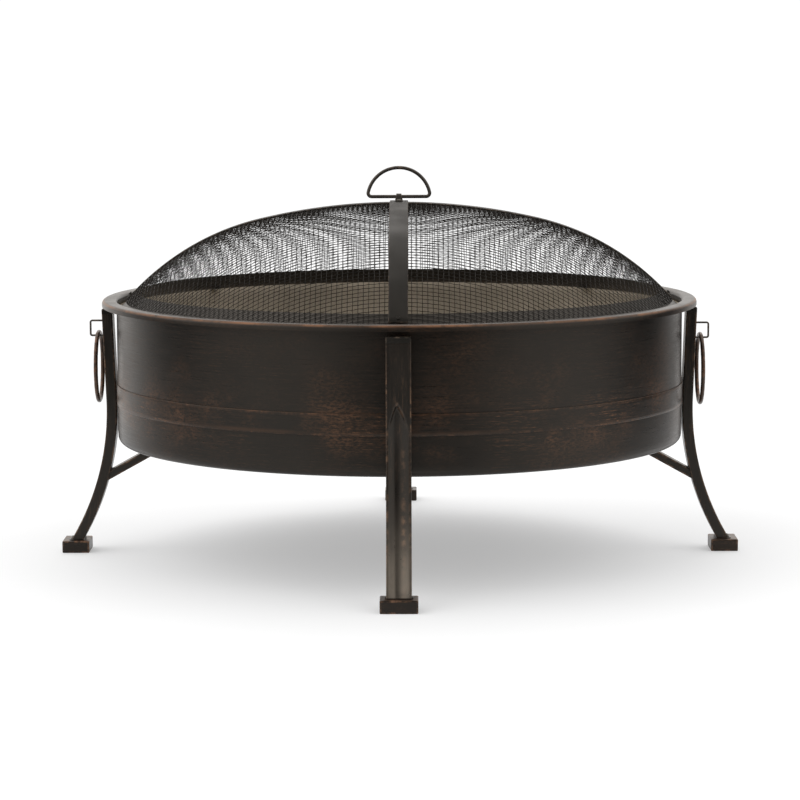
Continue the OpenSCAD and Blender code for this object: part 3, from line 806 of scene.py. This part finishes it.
def ring_handle(side):
    """A slightly uneven ring of round bar, rubbed most on its outer side."""
    low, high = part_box(f"ring_{side}")
    bar = (high.x - low.x) / 2
    radius = (high.z - low.z) / 2 - bar
    centre = (low + high) / 2
    circle = np.radians(np.linspace(0, 360, 120, endpoint=False) + 90)
    path = [(centre.x, radius * math.cos(a), centre.z + radius * math.sin(a)) for a in circle]
    points, faces = round_bar(path, bar, uneven=0.05)
    wear = [0.35 + 0.65 * max(0.0, (abs(p[0]) - abs(centre.x)) / bar) for p in points]
    body = JOINTS[f"ring_{side}_swing"]["child"]
    piece(f"ring_bar_{side}", points, faces, body, ring_bronze, [f"ring_{side}"], wear)


# ---------- spark screen ----------

def wire_places(edge):
    """Distances of the wires from the middle, one mesh pitch apart along the dome's surface."""
    places = [0.5 * MESH_PITCH]
    while True:
        slope = dome_point(places[-1], MESH_DEPTH)[1]
        following = places[-1] + MESH_PITCH * math.cos(slope)
        if following > edge:
            break
        places.append(following)
    return np.array([-p for p in places[::-1]] + places)


def woven(direction, edge):
    """All the wires that run one way, each a six-sided tube that goes over and under the others."""
    sides, weave, end_gap = 6, 0.9 * WIRE_R, 1.5 * MM
    turns = np.linspace(0, 2 * math.pi, sides, endpoint=False)
    places = wire_places(edge)
    rings, faces = [], []
    for i, offset in enumerate(places):
        reach = math.sqrt(max(edge ** 2 - offset ** 2, 0))
        inside = [(s, k) for k, s in enumerate(places) if abs(s) < reach - end_gap]
        if len(inside) < 2:
            continue
        stops = [(-reach, None)] + inside + [(reach, None)]
        first = len(rings) * sides
        for s, k in stops:
            z, slope = dome_point(min(math.hypot(offset, s), edge), MESH_DEPTH)
            away = max(math.hypot(offset, s), 1e-6)
            normal = np.array([math.sin(slope) * offset / away, math.sin(slope) * s / away, math.cos(slope)])
            over = 0.0 if k is None else weave * (1 if (i + k + direction) % 2 else -1)
            point = np.array([offset, s, z]) + normal * over
            side = np.array([math.cos(slope), 0, -math.sin(slope) * offset / away])
            side /= np.linalg.norm(side)
            rings.append([point + WIRE_R * (math.cos(t) * side + math.sin(t) * normal) for t in turns])
        for j in range(len(stops) - 1):
            a, b = first + j * sides, first + (j + 1) * sides
            faces += [[a + n, a + (n + 1) % sides, b + (n + 1) % sides, b + n] for n in range(sides)]
    points = np.array(rings).reshape(-1, 3)
    if direction:
        points = points[:, [1, 0, 2]]
        faces = [face[::-1] for face in faces]
    return points, faces


def screen_mesh():
    """Two sets of wires that are woven through each other."""
    for direction, name in enumerate(("screen_warp_wires", "screen_weft_wires")):
        points, faces = woven(direction, MESH_EDGE_R - 0.5 * MM)
        piece(name, points, faces, "spark_screen", wire_paint, ["screen_mesh"], angle=180)


def strap(name, node, depth, turn):
    """A flat strap over the dome with slightly rolled edges."""
    end = MESH_EDGE_R - 1 * MM
    half = STRAP_W / 2
    roll, under_inset = 0.5 * MM, 0.2 * MM
    # the section as a place across the strap and a share of its thickness
    section = [(-half, 0.55), (-half + roll, 0.08), (-half + 2 * roll, 0.0)]
    section += [(x, 0.0) for x in np.linspace(-half + 2 * roll, half - 2 * roll, 9)[1:-1]]
    section += [(half - 2 * roll, 0.0), (half - roll, 0.08), (half, 0.55), (half - under_inset, 1.0)]
    section += [(x, 1.0) for x in (half * 0.4, -half * 0.4, -half + under_inset)]
    stations, wear = [], []
    for s in np.linspace(-end, end, 141):
        ring = []
        for across, share in section:
            z = dome_point(math.hypot(s, across), depth + share * STRAP_T)[0]
            ring.append((across, s, z))
            wear.append(0.8 if abs(across) > half - 1.5 * roll else 0.0)
        stations.append(ring)
    points, faces = sweep(stations)
    piece(
        name, turned(points, turn), faces, "spark_screen", strap_paint, [node], wear, angle=60,
    )


def hem():
    """The ring under the mesh's edge: a skirt that turns out into a flat edge with a rubbed rim."""
    bend_r = MESH_EDGE_R - 1 * MM
    bend_z = dome_point(bend_r, HEM_DEPTH)[0]
    top = (bend_r - (HEM_HIGH - bend_z), HEM_HIGH)
    bend = (bend_r, bend_z)
    edge = (HEM_R, HEM_LOW + HEM_T)
    # each point is a number of millimetres out and up from one of the three places
    offsets = (
        (top, 0, 0), (bend, -4, 4), (bend, -1, 0.9), (bend, 1, -0.7), (edge, -1.2, 0.6), (edge, -0.3, 0),
        (edge, 0, -0.8), (edge, -0.4, -1.7), (bend, 0, -1.7), (top, 0, -1.7),
    )
    points, faces = lathe([(place[0] + out * MM, place[1] + up * MM) for place, out, up in offsets])
    wear = [0.5 if math.hypot(p[0], p[1]) > HEM_R - 1 * MM else 0.0 for p in points]
    piece(
        "screen_hem_ring", points, faces, "spark_screen", hem_paint, ["screen_hem"], wear,
        angle=50,
    )


def lift_handle():
    """A D of round bar: a straight side through the pivot, two tight corners and a round back."""
    low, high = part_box("lift_handle")
    bar = (high.y - low.y) / 2
    rise, drop, corner = 37 * MM, 3.25 * MM, 4.5 * MM
    radius = rise + drop
    corner_x = math.sqrt((radius - corner) ** 2 - (corner + drop) ** 2)
    tilt = math.degrees(math.atan2(corner + drop, corner_x))
    path = [(x, 0.0) for x in np.linspace(-corner_x, corner_x, 12)[:-1]]
    path += arc(corner_x, corner, corner, -90, tilt, 9)[:-1]
    path += arc(0, -drop, radius, tilt, 180 - tilt, 48)[:-1]
    path += arc(-corner_x, corner, corner, 180 - tilt, 270, 9)[:-1]
    points, faces = round_bar([(x, 0, PIVOT_Z + z) for x, z in path], bar)
    wear = [0.5 if p[2] > high.z - 3 * MM else 0.15 for p in points]
    piece(
        "lift_handle_bar", points, faces, "lift_handle", handle_paint, ["lift_handle"], wear,
    )


def handle_clip():
    """A strip bent over the handle's bar, wide at its two riveted wings and narrow over the bar."""
    low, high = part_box("handle_clip")
    thick, foot_r, wing_end = 1.3 * MM, 2.4 * MM, 3 * MM
    base = low.z + thick / 2
    hug = high.z - PIVOT_Z - thick / 2
    foot_y = hug + 2.6 * MM
    line = [(low.y, base), (low.y + wing_end, base), (-foot_y, base)]
    line += arc(-foot_y, base + foot_r, foot_r, -90, -8, 6)
    line += arc(0, PIVOT_Z, hug, 178, 2, 19)
    line += arc(foot_y, base + foot_r, foot_r, 188, 270, 6)
    line += [(high.y - wing_end, base), (high.y, base)]

    def width_at(y, z):
        """Full width at the wings, 38 % less over the bar and 25 % less at the wings' rounded ends."""
        rise = min(1.0, max(0.0, (z - base) / (high.z - base)))
        from_end = min(abs(y - low.y), abs(y - high.y))
        return (high.x - low.x) * (1 - 0.38 * rise) * (0.75 + 0.25 * min(1.0, from_end / (2 * MM)))

    points, faces, wear = strip(line, thick, width_at, 0.35 * MM, 0.6)
    points = [(across, y, z) for y, across, z in points]
    piece(
        "handle_saddle", points, faces, "spark_screen", handle_paint, ["handle_clip"], wear,
        angle=50,
    )


# ---------- carried-over CAD nodes ----------

def finish_cad_nodes():
    for paint, nodes in (
        (inside_paint_and_light, ["screen_rest_tabs"]),
        (bolt_zinc, ["wall_bolts", "floor_bolts", "floor_nuts", "clip_rivets"]),
        (strap_paint, ["strap_rivets"]),
        (grate_paint, ["grate_rim", "grate_bars", "grate_cross_bars", "grate_feet"]),
    ):
        for node in nodes:
            mesh = frame["nodes"][node].data
            mesh.materials.clear()
            mesh.materials.append(paint)
            mesh.shade_smooth()
            mesh.set_sharp_from_angle(angle=math.radians(35))


# ---------- stage ----------

def floor():
    """A pale, faintly glowing disc. Its near edge is below the picture, and its far edge is as white as
    what is behind it."""
    points = [(FLOOR_R * math.cos(a), FLOOR_R * math.sin(a), 0.0) for a in np.radians(np.arange(0, 360, 3))]
    mesh = bpy.data.meshes.new("floor")
    mesh.from_pydata(points, [], [list(range(len(points)))])
    paper = Shader("floor_paper")
    tone = paper.mix(paper.spots(3.0, 0.3, 0.7, 2.0), (0.57, 0.59, 0.612), (0.58, 0.6, 0.623))
    mesh.materials.append(paper.finish(
        tone, roughness=0.9, metallic=0.0, bump=paper.noise(200.0, 2.0), distance=0.02 * MM, specular=0.0,
    ))
    paper.surface.inputs["Emission Color"].default_value = (1.0, 1.0, 1.0, 1.0)
    paper.surface.inputs["Emission Strength"].default_value = FLOOR_GLOW
    obj = bpy.data.objects.new("floor", mesh)
    bpy.context.scene.collection.objects.link(obj)


def studio():
    """The lights, as a world. The camera sees plain white instead."""
    world = bpy.data.worlds.new("studio")
    bpy.context.scene.world = world
    world.use_nodes = True
    tree = world.node_tree
    tree.nodes.clear()

    def node(kind, **settings):
        made = tree.nodes.new(kind)
        for key, value in settings.items():
            setattr(made, key, value)
        return made

    def ramp(source, low, high, out_low, out_high):
        made = node("ShaderNodeMapRange", interpolation_type="SMOOTHSTEP")
        tree.links.new(source, made.inputs["Value"])
        for key, value in (("From Min", low), ("From Max", high), ("To Min", out_low), ("To Max", out_high)):
            made.inputs[key].default_value = value
        return made.outputs[0]

    direction = node("ShaderNodeTexCoord").outputs["Generated"]

    def towards(axis):
        """How far a ray's direction points along the axis, 1 when it points straight along it."""
        made = node("ShaderNodeVectorMath", operation="DOT_PRODUCT")
        tree.links.new(direction, made.inputs[0])
        made.inputs[1].default_value = Vector(axis).normalized()
        return made.outputs["Value"]

    parts = [ramp(towards(axis), start, 1.0, dim, bright) for axis, start, dim, bright in LIGHTS]
    total = parts[0]
    for part in parts[1:]:
        brighter = node("ShaderNodeMath", operation="MAXIMUM")
        tree.links.new(total, brighter.inputs[0])
        tree.links.new(part, brighter.inputs[1])
        total = brighter.outputs[0]
    lit, seen = node("ShaderNodeBackground"), node("ShaderNodeBackground")
    tree.links.new(total, lit.inputs["Strength"])
    seen.inputs["Strength"].default_value = BACKDROP_WHITE
    lit.inputs["Color"].default_value = (*LIGHT_TINT, 1.0)
    seen.inputs["Color"].default_value = (1.0, 1.0, 1.0, 1.0)
    choose = node("ShaderNodeMixShader")
    tree.links.new(node("ShaderNodeLightPath").outputs["Is Camera Ray"], choose.inputs[0])
    tree.links.new(lit.outputs[0], choose.inputs[1])
    tree.links.new(seen.outputs[0], choose.inputs[2])
    tree.links.new(choose.outputs[0], node("ShaderNodeOutputWorld").inputs["Surface"])
    bpy.context.scene.view_settings.view_transform = "Standard"


def camera():
    """A long lens in front of the fire pit, about twice as high as its rim, aimed a little down."""
    data = bpy.data.cameras.new("camera")
    data.lens = CAMERA_LENS
    data.sensor_width = CAMERA_SENSOR
    obj = bpy.data.objects.new("camera", data)
    azimuth, pitch, roll = (math.radians(a) for a in (CAMERA_AZIMUTH, CAMERA_PITCH, CAMERA_ROLL))
    spin = Matrix.Rotation(azimuth, 4, "Z")
    aim = Matrix.Rotation(math.pi / 2 - pitch, 4, "X") @ Matrix.Rotation(roll, 4, "Z")
    place = Matrix.Translation((CAMERA_SHIFT, -CAMERA_DISTANCE, CAMERA_HEIGHT))
    obj.matrix_world = spin @ place @ aim
    bpy.context.scene.collection.objects.link(obj)
    bpy.context.scene.camera = obj


camera()
floor()
studio()
bowl()
band()
legs()
feet()
foot_welds()
leg_caps()
braces()
for side in ("left", "right"):
    staple(side, TURN[side])
    ring_handle(side)
screen_mesh()
strap("screen_strap_front_back", "strap_front_back", 0.0, 0)
strap("screen_strap_left_right", "strap_left_right", STRAP_T, 90)
hem()
lift_handle()
handle_clip()
finish_cad_nodes()
